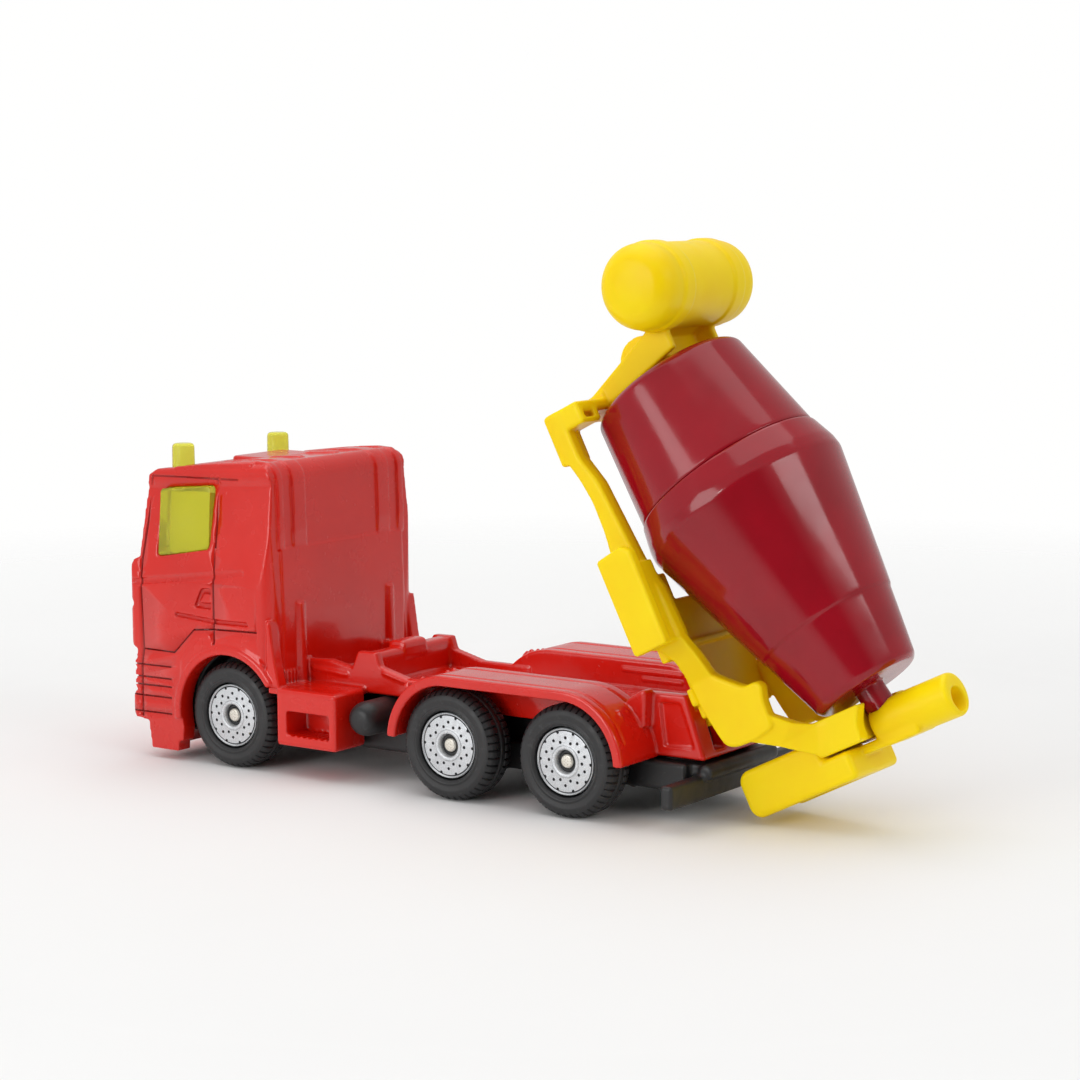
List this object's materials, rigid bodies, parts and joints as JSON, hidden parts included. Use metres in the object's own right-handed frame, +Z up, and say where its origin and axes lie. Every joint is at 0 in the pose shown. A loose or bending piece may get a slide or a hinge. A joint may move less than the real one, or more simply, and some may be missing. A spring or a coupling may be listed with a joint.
{
  "type": "toy cement mixer",
  "caption": "Die-cast toy concrete-mixer lorry with rolling wheels, a tipping yellow mixer frame and a drum that turns.",
  "frame": {"origin": "centre of the tyres' contact plane: bottom centre of the bounding box with the mixer tipped back", "axes": "+X rearwards (the cab faces -X), +Y to the vehicle's right, +Z up"},
  "size_m": [0.0954, 0.0262, 0.0572],
  "materials": {
    "red_paint": "gloss",
    "clear_yellow": "clear",
    "black_plastic": "satin",
    "tyre": "satin",
    "silver_disc": "metallic print",
    "steel": "plain",
    "yellow_plastic": "satin",
    "maroon_plastic": "gloss"
  },
  "bodies": {
    "truck": {"body_casting": "red_paint", "window_insert": "clear_yellow", "base_plate": "black_plastic", "front_rivet": "steel", "rear_rivet": "steel", "hinge_pin": "steel"},
    "front_wheels": {"front_axle": "steel", "front_left_tyre": "tyre", "front_right_tyre": "tyre", "front_left_disc": "silver_disc", "front_right_disc": "silver_disc"},
    "middle_wheels": {"middle_axle": "steel", "middle_left_tyre": "tyre", "middle_right_tyre": "tyre", "middle_left_disc": "silver_disc", "middle_right_disc": "silver_disc"},
    "rear_wheels": {"rear_axle": "steel", "rear_left_tyre": "tyre", "rear_right_tyre": "tyre", "rear_left_disc": "silver_disc", "rear_right_disc": "silver_disc"},
    "mixer": {"mixer_frame": "yellow_plastic", "hopper_and_chute": "yellow_plastic"},
    "drum": {"drum_front_shell": "maroon_plastic", "drum_rear_shell": "maroon_plastic"}
  },
  "joints": [
    {"name": "front_axle_spin", "type": "hinge", "parent": "truck", "child": "front_wheels", "pos_m": [-0.03386, 0, 0.00575], "axis": [0, 1, 0], "continuous": true},
    {"name": "middle_axle_spin", "type": "hinge", "parent": "truck", "child": "middle_wheels", "pos_m": [-0.00466, 0, 0.00575], "axis": [0, 1, 0], "continuous": true},
    {"name": "rear_axle_spin", "type": "hinge", "parent": "truck", "child": "rear_wheels", "pos_m": [0.00983, 0, 0.00575], "axis": [0, 1, 0], "continuous": true},
    {"name": "mixer_tip", "type": "hinge", "parent": "truck", "child": "mixer", "pos_m": [0.01803, 0, 0.0093], "axis": [0, -1, 0], "range_deg": [0, 63.25]},
    {"name": "drum_spin", "type": "hinge", "parent": "mixer", "child": "drum", "pos_m": [0.01421, 0, 0.04287], "axis": [0.6259, 0, -0.7799], "continuous": true}
  ]
}
